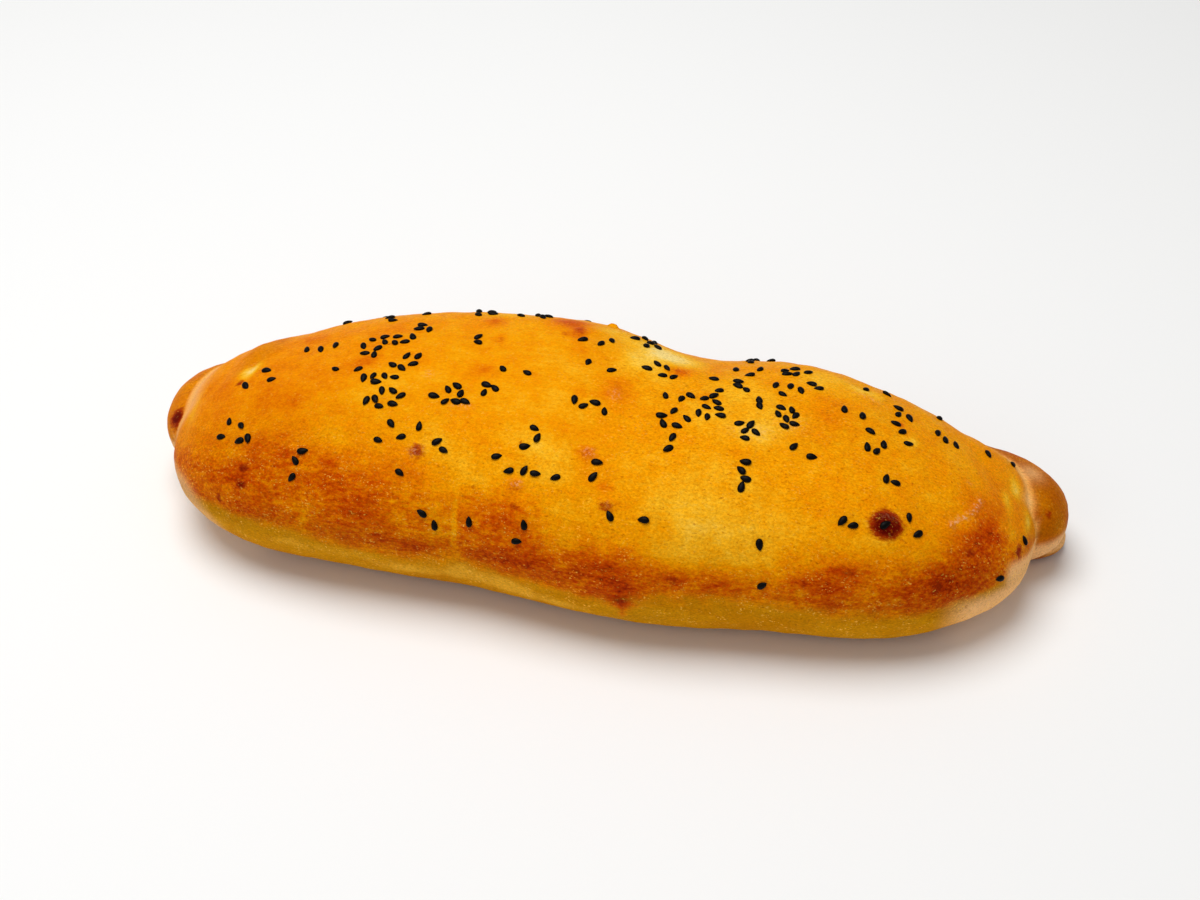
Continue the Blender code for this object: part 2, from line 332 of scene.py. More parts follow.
# Cracks, creases and wrinkles: the same, with a depth below zero
CREASES = (
    (-33, 72, 0.7, 11.0, -0.35),
    (-74, 76, 1.0, 8.0, -0.2),
    (-101, -8, 1.0, 5.0, -0.5),
    (-100, -16, 0.9, 7.0, -0.4),
    (94.0, 33.5, 0.9, 1.4, 0.4),
    (95.0, 30.5, 1.2, 1.1, 0.35),
    (97.0, 27.5, 1.2, 1.3, 0.4),
    (98.6, 24.0, 1.0, 1.8, 0.45),
    (99.8, 19.5, 0.9, 2.2, 0.45),
    (101.0, 14.5, 0.9, 2.2, 0.35),
    (96.0, 29.0, 2.6, 4.0, -0.25),
)
# Uneven swell of the crust: height in mm, size in mm, number of waves, seed
SWELL = ((0.30, 34, 7, 3), (0.10, 9, 9, 4), (0.03, 3.5, 9, 5))
# Over this distance outside the loaf, in mm, the crust passes to the fold's own bake
FOLD_EDGE = (0.4, 1.4)
# The loaf's blisters and creases fade out over this distance outside it
BLISTER_EDGE = (2.5, 1.0)
# The creases between loaf and folds lie beyond this distance from the middle
CREASES_FROM = 96
CREASE_WIDTH, CREASE_DEPTH = 1.0, 0.35
BLISTER_SHARPNESS = 2.0
# The relief dies out over this height above the floor, where the loaf is pressed flat
FLAT_FOOT = 4.0


def swell(rows):
    """Sum of waves over the crust, from rows of height, size, number of waves and seed."""
    return sum(height * waves(points, size, count, seed) for height, size, count, seed in rows)


points = points_of(crust)
place, turn, outside = loaf_coordinates(points)
folded = np.minimum(lobe_distance(points, *LEFT_FOLD), lobe_distance(points, *RIGHT_FOLD))
off_body = np.minimum(outside, folded)
off_tip = lobe_distance(points, *TIP)
off_tail = np.minimum(lobe_distance(points, *TAIL), lobe_distance(points, *TAIL_LIP))
on_left = points[:, 0] < 0
tip = ramp(off_body, *FOLD_EDGE) * on_left
tail = ramp(off_body, *FOLD_EDGE) * (points[:, 0] > 0)
fold_gap = np.maximum(off_body, np.where(on_left, off_tip, off_tail))
fold_line = np.exp(-((np.maximum(fold_gap, 0) / CREASE_WIDTH) ** 2))
fold_line *= np.abs(points[:, 0]) > CREASES_FROM
normals = np.empty(len(points) * 3)
crust.data.vertices.foreach_get("normal", normals)
normals = normals.reshape(-1, 3)
raised = marks(place, turn, BLISTERS, BLISTER_SHARPNESS) + marks(place, turn, CREASES)
relief = swell(SWELL) + ramp(outside, *BLISTER_EDGE) * raised - CREASE_DEPTH * fold_line
relief *= ramp(points[:, 2], 0.0, FLAT_FOOT)
points = points + relief[:, None] * normals
points[:, 2] = np.maximum(points[:, 2], 0.0)
crust.data.vertices.foreach_set("co", ((points - np.array(BOX_MIDDLE)) * MM).ravel())
crust.data.update()
crust.data.shade_smooth()

# The bake, painted by place along the loaf and turn from its crown, as the photo shows it

# Brown band low on the front: place, where it starts, where it stops, strength
BAND = (
    (-118, 50, 88, 0.12),
    (-110, 48, 86, 0.14),
    (-100, 46, 85, 0.19),
    (-90, 42, 85, 0.21),
    (-82, 44, 85, 0.21),
    (-75, 46, 86, 0.20),
    (-68, 48, 88, 0.24),
    (-58, 52, 91, 0.21),
    (-48, 56, 93, 0.20),
    (-38, 66, 92, 0.18),
    (-30, 60, 91, 0.21),
    (-22, 57, 91, 0.25),
    (-12, 64, 92, 0.26),
    (-4, 75, 93, 0.26),
    (4, 69, 93, 0.29),
    (12, 70, 92, 0.28),
    (20, 73, 89, 0.24),
    (30, 73, 88, 0.20),
    (40, 74, 87, 0.18),
    (50, 73, 87, 0.16),
    (58, 66, 88, 0.20),
    (66, 60, 89, 0.25),
    (74, 64, 88, 0.20),
    (82, 64, 88, 0.24),
    (90, 56, 87, 0.28),
    (98, 40, 85, 0.30),
    (106, 26, 79, 0.26),
    (112, 40, 74, 0.12),
)
# Stains and pale patches: place, turn, half length in mm, half width in degrees, strength
STAINS = (
    (-106, 15, 34, 52, 0.12),
    (-86, 44, 16, 11, 0.08),
    (-52, 50, 12, 9, 0.12),
    (-82, 14, 16, 16, 0.04),
    (-115, 60, 12, 24, 0.06),
    (108, 8, 12, 34, 0.11),
    (44, 50, 13, 10, -0.10),
    (32, -8, 16, 12, -0.04),
    (27, 65, 12, 5, -0.06),
    (-86, -25, 4, 6, 0.12),
    (-87, -13, 2, 4, 0.06),
    (-66, 1, 4, 3, 0.16),
    (-52, -24, 3, 4, 0.06),
    (-82, 19, 2, 3, 0.06),
    (-83, 36, 2, 2, 0.10),
    (-81, 46, 2, 3, 0.09),
    (-69, 49, 2.5, 3, 0.12),
    (-95, 60, 6, 8, 0.10),
    (-92, 80, 9, 6, 0.08),
    (-60, 72, 10, 10, 0.06),
    (-52, 86, 6, 3, 0.10),
    (-44, 88, 5, 3, 0.10),
    (-48, 76, 3, 8, -0.08),
    (-36, 77, 4, 6, -0.08),
    (-35, -26, 3.5, 5, 0.22),
    (-41, -21, 3, 4, 0.08),
    (-31, -13, 1.8, 3, 0.14),
    (-32, 3, 2.6, 2.4, 0.15),
    (-14, -34, 6, 7, 0.30),
    (-10.5, -24, 2.2, 6, 0.22),
    (-14, -21, 1, 2, 0.14),
    (-9, -13, 2.5, 3, 0.08),
    (-6, 6, 3, 3, 0.12),
    (4, 2, 4.5, 6, 0.16),
    (-3, 22, 8, 3, 0.05),
    (-13.5, 35.5, 1.6, 1.8, 0.10),
    (5, 42, 4, 3, 0.08),
    (22, 53, 3, 4, 0.06),
    (-22, 66, 6, 7, 0.06),
    (-16, 85, 9, 4, 0.10),
    (-26, 86, 3, 4, 0.08),
    (6, 76, 8, 2.5, 0.08),
    (12, 85, 5, 4, 0.08),
    (-6, 75, 5, 3, -0.06),
    (26, 78, 3.5, 4, 0.12),
    (37, 80, 4, 5, 0.08),
    (13, 94, 4.5, 6, 0.27),
    (12.5, 104, 1.2, 8, 0.20),
    (18.5, -16, 4.0, 5, 0.36),
    (28, -24, 2.5, 8, 0.14),
    (28, -4, 3.5, 4, 0.10),
    (60, -6, 6, 8, 0.10),
    (79, -12, 1.2, 2, 0.22),
    (103, 20, 6, 18, 0.12),
    (68, 66, 5, 3, 0.16),
    (57, 74, 3.5, 3, 0.12),
    (65, 77, 4, 5, 0.14),
    (66, 87, 2, 3, 0.14),
    (92, 73, 3, 6, 0.12),
    (84, 76, 6, 4, 0.06),
    (78, 66, 4, 8, -0.05),
    (92, 68, 9, 9, 0.07),
    (55, 6, 10, 9, 0.03),
    (106, 26, 5, 8, -0.04),
    (103, 50, 3, 16, 0.06),
    (-58, 12, 8, 8, -0.11),
    (-47, 7, 3, 3, -0.05),
    (-98, 28, 5, 8, -0.06),
    (-74.5, 76, 1.3, 9, -0.15),
    (-62, 66, 14, 8, 0.04),
    (-33, 74, 0.7, 13, -0.26),
    (-0.5, 30, 2.8, 3.4, 0.20),
    (-17.5, 49, 2.6, 3.2, 0.18),
    (5, 42, 1.5, 2.0, 0.10),
    (-101, -7, 2.1, 5, -0.85),
    (-99.5, -20, 1.0, 11, -0.50),
    (-115.5, 8, 1.6, 16, -0.18),
    (-38, 40, 7, 8, -0.05),
    (-13, 32, 5, 6, -0.17),
    (-9, 42, 6, 3, -0.08),
    (-20, 16, 8, 6, -0.03),
    (-30, -38, 10, 6, -0.10),
    (-1, -36, 6, 8, -0.12),
    (14, -30, 8, 11, -0.48),
    (7, -18, 4, 6, -0.16),
    (26, 40, 11, 16, -0.11),
    (34, 56, 12, 8, -0.10),
    (44, 66, 8, 4, -0.08),
    (24, 66, 6, 5, -0.06),
    (42, 10, 5, 4, -0.12),
    (41, 32, 4, 4, -0.10),
    (36, -8, 10, 8, -0.06),
    (57, -26, 6, 8, -0.16),
    (68, -28, 5, 5, -0.24),
    (75, 21, 2, 6, -0.06),
    (82.8, -4, 1.8, 3, -0.20),
    (72, 52, 12, 5, -0.04),
    (109.5, 10, 1.5, 12, -0.16),
    (110.6, 34, 1.2, 12, -0.12),
    (111.9, -14, 1.5, 9, -0.32),
    (108.8, 1, 1.3, 5, -0.22),
    (115.5, 12, 1.0, 13, -0.30),
    (-64, -21, 16, 8, 0.07),
    (-66, -10, 4, 5, 0.07),
    (15, -13, 6, 6, -0.12),
    (5, -8, 4, 5, -0.07),
    (30, 1, 8, 5, -0.06),
    (100, -2, 9, 13, -0.07),
    (-35, 5, 5, 8, 0.05),
    (5, 15, 5, 8, 0.06),
    (-65, 18, 4, 5, -0.09),
    (95, 38, 6, 9, 0.10),
    (70, 32, 6, 6, 0.05),
    (-5, 36, 4, 5, -0.10),
    (-96, 46, 8, 6, -0.09),
    (-73, 51, 4, 4, -0.07),
    (-44, 53, 6, 6, 0.09),
    (-26, 50, 6, 6, -0.10),
    (75, 62, 5, 8, 0.07),
    (-52, 67, 6, 4, -0.06),
    (-5, 68, 6, 5, -0.08),
    (33, 67, 5, 4, -0.06),
    (95, 70, 5, 6, 0.09),
    (-12, 6, 8, 10, -0.04),
    (-66, 8, 22, 14, 0.03),
    (41, 9, 6, 6, -0.12),
    (50, 3, 6, 5, -0.09),
    (30, 8, 5, 5, -0.06),
    (-70, 54, 16, 10, -0.03),
    (20, 84, 30, 8, 0.04),
    (-68, 56, 6, 6, 0.04),
    (-84, 76, 12, 6, -0.04),
)
# Small burnt spots: place, turn, half length in mm, half width in degrees, strength
BURNT = (
    (77, 41, 4.0, 6.8, 1.35),
    (-102, 1, 1.0, 1.8, 0.60),
    (-93, 54.5, 1.6, 2.2, 0.82),
    (-93, 64.5, 2.0, 2.5, 0.86),
    (-100, 77, 0.8, 5.0, 0.55),
    (-92, 87, 1.2, 1.5, 0.25),
    (-65.5, 67, 1.4, 2.0, 0.25),
    (-62, 53.5, 0.4, 0.5, 0.60),
    (-74, 6.3, 0.3, 0.4, 0.60),
    (-61.5, -7.5, 0.4, 0.6, 0.60),
    (-45, 41.5, 2.5, 3.4, 0.58),
    (6.5, 49.5, 2.2, 2.8, 0.50),
    (-1.2, 30, 2.2, 2.8, 0.26),
    (-17.6, 49.5, 2.0, 2.6, 0.24),
    (-36, 18, 2.4, 1.2, 0.20),
    (-17, 58.5, 1.2, 1.6, 0.50),
    (-28.5, 53.5, 0.8, 1.1, 0.50),
    (25.5, 79, 1.4, 3.2, 0.45),
    (83, 17, 0.4, 0.8, 0.60),
    (79, -13, 0.9, 1.6, 0.40),
    (86.5, 13, 1.2, 1.8, 0.18),
    (99.5, 49, 1.6, 3.2, 0.62),
    (97, 61, 1.6, 5.0, 0.24),
    (92, 73, 1.5, 5.0, 0.42),
    (69.5, 66.5, 1.8, 2.6, 0.38),
    (66, 65, 3.0, 2.0, 0.20),
    (58, 75, 1.8, 2.2, 0.22),
    (-14, 86, 4.0, 2.0, 0.20),
    (10, 85, 2.6, 2.2, 0.30),
    (-10.5, -25, 1.3, 4.0, 0.34),
    (-14, -21, 0.8, 2.0, 0.36),
    (-31, -13, 1.1, 2.0, 0.26),
    (18, -17, 1.6, 2.4, 0.22),
    (-25, 86, 2.0, 2.6, 0.30),
    (-52, 86.5, 2.6, 1.4, 0.30),
    (-43.5, 88, 2.0, 1.6, 0.30),
    (-18, 31.5, 0.6, 0.9, 0.45),
    (0.5, 24.5, 0.3, 0.5, 0.60),
    (113, 48, 0.9, 7.0, 0.30),
)
# Dry pinkish tops of blisters and wrinkles, with painted highlights: the glossy wrinkle chain, sheen by
# seeds, a blister's lit top
DRY_TOPS_AND_GLINTS = (
    (3.6, 4, 1.2, 1.7, 0.40),
    (0.2, 29.5, 1.1, 1.5, 0.60),
    (-17.2, 48.3, 1.2, 1.6, 0.45),
    (-35.5, 19.5, 2.2, 1.2, 0.45),
    (-47, 7, 1.4, 1.6, 0.20),
    (-45, 41, 1.8, 2.2, 0.30),
    (41, 10, 5.0, 3.0, 0.25),
    (50, 4, 4.0, 3.0, 0.20),
    (6.8, 48.6, 1.2, 1.3, 0.10),
    (94.0, 33.5, 0.7, 1.2, 1.0),
    (95.0, 30.5, 1.0, 0.9, 0.9),
    (97.0, 27.5, 1.1, 1.0, 1.0),
    (98.6, 24.0, 0.8, 1.5, 1.0),
    (99.8, 19.5, 0.7, 2.0, 1.0),
    (101.0, 14.5, 0.6, 2.0, 0.8),
    (98.0, 5.5, 0.5, 1.0, 0.8),
    (70, -23, 3.0, 1.6, 0.35),
    (-101, -8, 1.0, 3.0, 0.20),
    (77, 37, 2.4, 1.6, 0.10),
)
# Where the brown runs down over the base, and where the base is palest
DRIPS = (
    (12.5, 94, 4.5, 6, 0.9),
    (12.5, 104, 1.2, 7, 0.6),
    (66, 91, 3, 4, 0.5),
    (-26, 91, 3, 4, 0.4),
    (-50, 92, 6, 4, 0.4),
)
PALE_BASE = (
    (-104, 100, 9, 8, 0.5),
    (-80, 97, 7, 5, 0.6),
    (-64, 98, 6, 5, 0.4),
    (-48, 104, 9, 6, 0.7),
    (-32, 100, 9, 8, 0.7),
    (-18, 104, 7, 8, 1.0),
    (-4, 108, 8, 5, 0.7),
)
# Painted shade, darkening the crust's colour: place, turn, half length in mm, half width in degrees,
# share; a share below zero paints light
PAINTED_SHADE = (
    (-94, 48, 34, 36, 0.15),
    (94, 66, 13, 17, 0.15),
    (57, 5, 12, 12, 0.05),
    (17, 106, 12, 8, 0.12),
    (10, 86, 6, 5, -0.08),
)
# Bake of the plain crown, from 0 for pale dough to 1 for burnt
GOLDEN = 0.42
TONE_DRIFT = ((0.02, 14, 9, 8),)
BURNT_SHARPNESS = 1.4
# Degrees from the band's upper edge over which it comes in, and from its lower edge over which
# it goes. Both edges wander, by height in degrees, size in mm, number of waves and seed.
BAND_IN, BAND_OUT = (-14, 12), (8, -4)
WANDER = ((2.4, 16, 7, 6), (1.4, 6, 7, 7))
# The band on the hidden back stays at least this far from the crown, in degrees
BACK_BAND_FROM = 60
# Share of its pits that the smoothest crust keeps
LEAST_PITTED = 0.45


def row_values(rows, places):
    """Each column of the rows after the first, interpolated over places."""
    known = [row[0] for row in rows]
    return [np.interp(places, known, [row[i] for row in rows]) for i in range(1, len(rows[0]))]


# The hidden back is baked like the front, so the band runs round it on the far side too
band_from, band_to, band_strength = row_values(BAND, place)
band_from = np.where(turn < 0, np.maximum(band_from, BACK_BAND_FROM), band_from)
wander = swell(WANDER)
side = np.abs(turn)
into_band = ramp(side - band_from - wander, *BAND_IN)
out_of_band = ramp(side - band_to - wander / 2, *BAND_OUT)
band = into_band * out_of_band
under = 1 - out_of_band
under *= 1 - np.clip(marks(place, turn, DRIPS), 0, 1)
pale_base = marks(place, turn, PALE_BASE)
tone = GOLDEN + band * band_strength + marks(place, turn, STAINS) + swell(TONE_DRIFT)
char = marks(place, turn, BURNT, BURNT_SHARPNESS)
dry_tops_and_glints = marks(place, turn, DRY_TOPS_AND_GLINTS)
# The crust is smoothest on the crown's left and more pitted towards the right and lower down
rougher = np.maximum(ramp(side, 12, 45), ramp(place, -25, 25))
pitted = LEAST_PITTED + (1 - LEAST_PITTED) * rougher

# The ends: beige dough low down, where the loaf curves away from the heat. It comes in over
# these places along the loaf in mm and turns from its crown in degrees.
LEFT_BEIGE, RIGHT_BEIGE = 0.85, 1.1
beige_left = LEFT_BEIGE * ramp(place - 0.3 * side, -130, -138) * ramp(side, 62, 80)
beige_right = RIGHT_BEIGE * ramp(place, 109, 112) * ramp(side, 54, 70)
beige_right = np.maximum(beige_right, ramp(place, 92, 103) * ramp(side, 80, 94))

# The folds have their own bake: its mean, and its drift by height, size, number of waves and seed
TAIL_TONE, TAIL_DRIFT = 0.63, ((0.05, 9, 7, 10),)
TIP_TONE, TIP_DRIFT = 0.53, ((0.04, 9, 7, 11),)
# Burnt and pale round spots on the folds and in the right crease: middle, radius in mm, strength
TAIL_BURNT = (((121.7, 1.5, 22.7), 1.5, 0.5),)
TIP_BURNT = (((-122.6, -2.6, 25.9), 3.0, 1.1), ((-121.4, 6.9, 28.7), 1.8, 0.22))
CREASE_BURNT = (((112.8, -16.9, 25.1), 1.9, 0.5),)
CREASE_PALE = (((116.8, 13.8, 26.3), 3.4, 0.7), ((115.3, 2.8, 26.1), 2.4, 0.4))
# Heights in mm over which things come in on the folds and in the creases, from none to full
FOLD_FOOT, LIP_BROWN = (8, 4), (4.6, 2.4)
TAIL_DOUGH, TIP_DOUGH = (17.2, 14.2), (21, 15)
LEFT_CREASE, RIGHT_CREASE, LIGHTER_CREASE = (16, 24), (13, 19), (16, 22)
# Depths in mm over which the pale dough comes in: it shows in front and fades out behind
TAIL_FRONT, TIP_FRONT, CREASE_FRONT = (27, 12), (20, -4), (34, 22)
# Share of it that the back of the tail keeps
TAIL_BACK = 0.3
# Distance in mm from the tip over which the pale crease round it comes in
TIP_OUTLINE = (4.6, 1.2)


def round_spots(rows):
    """Sum of soft round spots about points of the crust: middle, radius in mm, strength."""
    total = np.zeros(len(points))
    for middle, radius, strength in rows:
        far = ((points - np.array(middle)) ** 2).sum(axis=1) / radius**2
        total += strength * np.exp(-far)
    return total


lengthwise, depthwise, height_up = points.T
tone = tone * (1 - tail) + (TAIL_TONE + swell(TAIL_DRIFT)) * tail
tone = tone * (1 - tip) + (TIP_TONE + swell(TIP_DRIFT)) * tip
tone -= 0.10 * fold_line * ramp(height_up, *LIGHTER_CREASE)
lip_edge = tail * ramp(height_up, *LIP_BROWN)
char += tail * round_spots(TAIL_BURNT) + tip * round_spots(TIP_BURNT)
char += round_spots(CREASE_BURNT) + 0.34 * lip_edge
under = under * (1 - tail) * (1 - tip) + (tail + tip) * ramp(height_up, *FOLD_FOOT)
in_front = TAIL_BACK + (1 - TAIL_BACK) * ramp(depthwise, *TAIL_FRONT)
tail_dough = ramp(height_up, *TAIL_DOUGH) * in_front
tip_dough = 0.8 * ramp(height_up, *TIP_DOUGH) * ramp(depthwise, *TIP_FRONT)
beige = (beige_left + beige_right) * (1 - tail) + tail * tail_dough * (1 - 0.7 * lip_edge)
beige += tip * tip_dough
# Dough drawn thin and pale in both creases, widest above the tip
near_tip = ramp(off_tip, *TIP_OUTLINE) * (1 - tip) * (lengthwise < -100)
beige += 0.62 * near_tip * ramp(height_up, *LEFT_CREASE) * ramp(depthwise, *CREASE_FRONT)
beige += 0.55 * fold_line * (lengthwise > 0) * ramp(height_up, *RIGHT_CREASE)
beige += round_spots(CREASE_PALE)

# Painted shade on the strip where the band meets the base and the loaf turns under, except a little
# right
# of the middle: turns in degrees over which it comes in and goes, then place and half length of the
# exception in mm
STRIP_IN, STRIP_OUT = (76, 86), (98, 90)
BRIGHT_PLACE, BRIGHT_HALF = 20, 34
# Height in mm over which the crust darkens towards the floor
FLOOR_EDGE = (2.6, 0.4)
painted_low_shade = ramp(side, *STRIP_IN) * ramp(side, *STRIP_OUT)
painted_low_shade *= 1 - 0.8 * np.exp(-(((place - BRIGHT_PLACE) / BRIGHT_HALF) ** 2))
# Painted shade and light: the patches and the low strip darken the crust, the beige right end is
# painted lighter and the tail darker
shade = 1 - (marks(place, turn, PAINTED_SHADE) + 0.10 * painted_low_shade) * (1 - tip) * (1 - tail)
shade += 0.2 * beige_right - 0.10 * tail

# What the material reads at each point of the crust, each from 0 to about 1
painted = {
    "tone": tone,
    "band": band,
    "under": under,
    "pale_base": np.clip(pale_base, 0, 1),
    "floor_edge": 0.75 * ramp(height_up, *FLOOR_EDGE),
    "folds": 0.55 * (tail + 0.5 * tip),
    "beige": 0.9 * np.clip(beige, 0, 1),
    "char": np.clip(char, 0, 1),
    "dry_tops_and_glints": np.clip(dry_tops_and_glints, 0, 1),
    "fleck_glint_share": 0.28 + 0.35 * band + 0.85 * under,
    "pitted": pitted,
    "shade": shade,
}
for name, values in painted.items():
    attribute = crust.data.attributes.new(name, "FLOAT", "POINT")
    attribute.data.foreach_set("value", values.astype(np.float32))


def colour(code):
    """Linear colour from an sRGB hex code."""
    parts = [int(code[i : i + 2], 16) / 255 for i in (0, 2, 4)]
    return tuple(p / 12.92 if p <= 0.04045 else ((p + 0.055) / 1.055) ** 2.4 for p in parts) + (1.0,)


def add(tree, kind, sockets, output=0, **settings):
    """Adds a node and gives one of its outputs, if it has any.

    Sockets are its inputs by name or number, each with a value or with the output that feeds it.
    """
    node = tree.nodes.new("ShaderNode" + kind)
    for name, value in settings.items():
        setattr(node, name, value)
    for key, value in sockets.items():
        if isinstance(value, bpy.types.NodeSocket):
            tree.links.new(value, node.inputs[key])
        else:
            node.inputs[key].default_value = value
    return node.outputs[output] if node.outputs else None


def lay_over(tree, ground, coats):
    """Lays coats of colour over a ground colour in turn, each by its share."""
    for share, coat in coats:
        sockets = {0: share, 6: ground, 7: coat}
        ground = add(tree, "Mix", sockets, 2, data_type="RGBA", clamp_factor=True)
    return ground


def lay_patterns(tree, rows):
    """Noise patterns by name, each from its size in mm, its detail and its scale lengthwise."""
    coords = add(tree, "TexCoord", {}, "Object")
    laid = {}
    for name, (size, detail, scale_lengthwise) in rows.items():
        stretched = add(tree, "Mapping", {"Vector": coords, "Scale": (scale_lengthwise, 1.0, 1.0)})
        sockets = {"Vector": stretched, "Scale": 1 / (size * MM), "Detail": detail, "Roughness": 0.6}
        laid[name] = add(tree, "TexNoise", sockets, "Fac")
    return laid


# Egg-washed crust: a satin glaze over bread, amber where it shines, matt and dry near the stone
glazed_crust = bpy.data.materials.new("egg_washed_crust")
glazed_crust.use_nodes = True
tree = glazed_crust.node_tree
tree.nodes.clear()
read = {name: add(tree, "Attribute", {}, "Fac", attribute_name=name) for name in painted}
SMOOTH = {"interpolation_type": "SMOOTHSTEP"}
# Patterns of the crust: size in mm, detail, and scale along the loaf, where under 1 lengthens them.
# Real pores are down to 0.1 mm wide, so the finest ones are drawn coarser than life to show.
CRUST_PATTERNS = {
    "cloud": (13.0, 3.0, 0.5),
    "mottle": (5.0, 4.0, 1.0),
    "clump": (3.6, 4.0, 1.0),
    "skin": (3.0, 4.0, 1.0),
    "streak": (1.8, 4.0, 0.3),
    "speckle": (0.9, 3.0, 0.6),
    "glint_dot": (0.8, 2.0, 1.0),
    "pit": (0.7, 2.0, 0.55),
    "pore": (0.7, 3.0, 1.0),
    "grain": (0.5, 2.0, 0.75),
    "fleck": (0.5, 1.0, 0.7),
}
pattern = lay_patterns(tree, CRUST_PATTERNS)
mottle, speckle, streak, grain = (
    add(tree, "Math", {0: pattern[name], 1: 0.5}, operation="SUBTRACT")
    for name in ("mottle", "speckle", "streak", "grain")
)

# The bake: each pattern shifts the tone by so much on the crown, and by so much more in the band
baked = read["tone"]
for shift, on_crown, in_band in ((mottle, 0.26, -0.07), (speckle, 0.24, 0.32), (streak, 0.08, 0.46)):
    reach = add(tree, "Math", {0: read["band"], 1: in_band, 2: on_crown}, operation="MULTIPLY_ADD")
    baked = add(tree, "Math", {0: shift, 1: reach, 2: baked}, operation="MULTIPLY_ADD")
bake_colour = add(tree, "ValToRGB", {"Fac": baked}, "Color")
BAKE_COLOURS = (
    (0.00, "F0D27C"),
    (0.15, "EFBC3E"),
    (0.28, "ECAA1A"),
    (0.40, "E79503"),
    (0.50, "E38400"),
    (0.60, "D66D00"),
    (0.70, "C85400"),
    (0.80, "B83D00"),
    (0.90, "9D2800"),
    (1.00, "6A1204"),
)
stops = bake_colour.node.color_ramp.elements
for stop, (position, code) in zip(stops, (BAKE_COLOURS[0], BAKE_COLOURS[-1])):
    stop.position, stop.color = position, colour(code)
for position, code in BAKE_COLOURS[1:-1]:
    stops.new(position).color = colour(code)

# The strip by the stone: dull ochre in clouds, paler in places and darkest at the very edge
clouded = add(tree, "MapRange", {0: pattern["cloud"], 1: 0.36, 2: 0.6}, **SMOOTH)
paled = add(tree, "Math", {0: mottle, 1: read["pale_base"]}, operation="ADD")
paled = add(tree, "MapRange", {0: paled, 1: 0.1, 2: 0.9}, **SMOOTH)
stone_coats = (
    (clouded, colour("CF8D08")),
    (paled, colour("E6A628")),
    (read["floor_edge"], colour("A05C02")),
)
stone_side = lay_over(tree, colour("C57F02"), stone_coats)
by_stone = add(tree, "Math", {0: streak, 1: 0.8, 2: read["under"]}, operation="MULTIPLY_ADD")
by_stone = add(tree, "Math", {0: mottle, 1: by_stone}, operation="ADD")
by_stone = add(tree, "MapRange", {0: by_stone, 1: 0.05, 2: 0.95}, **SMOOTH)

# Burnt spots, red-brown and nearly black at heart, and dry tops rubbed bare of egg, with painted pink
# sheen and whitish glints
scorch = add(tree, "Math", {0: speckle, 1: 0.8, 2: read["char"]}, operation="MULTIPLY_ADD")
reddened = add(tree, "MapRange", {0: scorch, 1: 0.08, 2: 0.62}, **SMOOTH)
blackened = add(tree, "MapRange", {0: scorch, 1: 0.5, 2: 1.0}, **SMOOTH)
pink_tops_and_sheen = add(tree, "Math", {0: read["dry_tops_and_glints"], 1: 0.35}, operation="MULTIPLY")
glint_specks = add(tree, "MapRange", {0: pattern["glint_dot"], 1: 0.50, 2: 0.62, 4: 0.9}, **SMOOTH)
glint_specks = add(tree, "Math", {0: read["dry_tops_and_glints"], 1: glint_specks}, operation="MULTIPLY")

# Pale tops of tiny bubbles in the egg wash, in clumps, painted lighter as glints, and pin pits drawn
# out along the loaf
clumped = add(tree, "MapRange", {0: pattern["clump"], 1: 0.46, 2: 0.60}, **SMOOTH)
flecks = add(tree, "MapRange", {0: pattern["fleck"], 1: 0.60, 2: 0.69}, **SMOOTH)
bubble_glints = add(tree, "Math", {0: read["fleck_glint_share"], 1: clumped}, operation="MULTIPLY")
bubble_glints = add(tree, "Math", {0: flecks, 1: bubble_glints}, operation="MULTIPLY")
pits = add(tree, "MapRange", {0: pattern["pit"], 1: 0.40, 2: 0.28, 4: 0.5}, **SMOOTH)
pits = add(tree, "Math", {0: pits, 1: read["pitted"]}, operation="MULTIPLY")

crust_coats = (
    (read["folds"], colour("A46000")),
    (by_stone, stone_side),
    (read["beige"], colour("EDB678")),
    (reddened, colour("982C04")),
    (blackened, colour("600A03")),
    (pink_tops_and_sheen, colour("DC7E38")),
    (glint_specks, colour("F6C094")),
    (bubble_glints, colour("FABC48")),
    (pits, colour("A04E00")),
)
crust_colour = lay_over(tree, bake_colour, crust_coats)
# The fine light and dark of a porous crust, strongest where it's most pitted, on top of the painted
# shade and light
fine = {0: grain, 1: read["pitted"], 2: read["shade"]}
light = add(tree, "Math", fine, operation="MULTIPLY_ADD")
crust_colour = add(tree, "HueSaturation", {"Value": light, "Color": crust_colour})

# Relief too fine for the mesh: pores, a faintly leathery skin, and the bubbles that stand on it
pores = add(tree, "Math", {0: pattern["pore"], 1: 0.6}, operation="MULTIPLY")
height = add(tree, "Math", {0: pattern["skin"], 1: 1.6, 2: pores}, operation="MULTIPLY_ADD")
height = add(tree, "Math", {0: flecks, 1: 0.35, 2: height}, operation="MULTIPLY_ADD")
bump = add(tree, "Bump", {"Strength": 0.55, "Distance": 0.14 * MM, "Height": height})
# The glaze is satin, and drier by the stone. Its shine is weak: more would grey the crown.
dryness = add(tree, "Math", {0: pattern["pore"], 1: 0.2, 2: 0.42}, operation="MULTIPLY_ADD")
dryness = add(tree, "Math", {0: read["under"], 1: 0.2, 2: dryness}, operation="MULTIPLY_ADD")
surface = add(
    tree,
    "BsdfPrincipled",
    {
        "Base Color": crust_colour,
        "Roughness": dryness,
        "Normal": bump,
        "Specular IOR Level": 0.02,
        "Specular Tint": colour("FFB43C"),
    },
)
add(tree, "OutputMaterial", {"Surface": surface})
crust.data.materials.append(glazed_crust)

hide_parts("pide")
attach(crust, "root")

# Seeds
# The real ones are black seeds about 3 mm long, blunt at one end and pointed at the other,
# sprinkled on the egg wash so that they stick in patches. Each is a drop pressed into the crust.

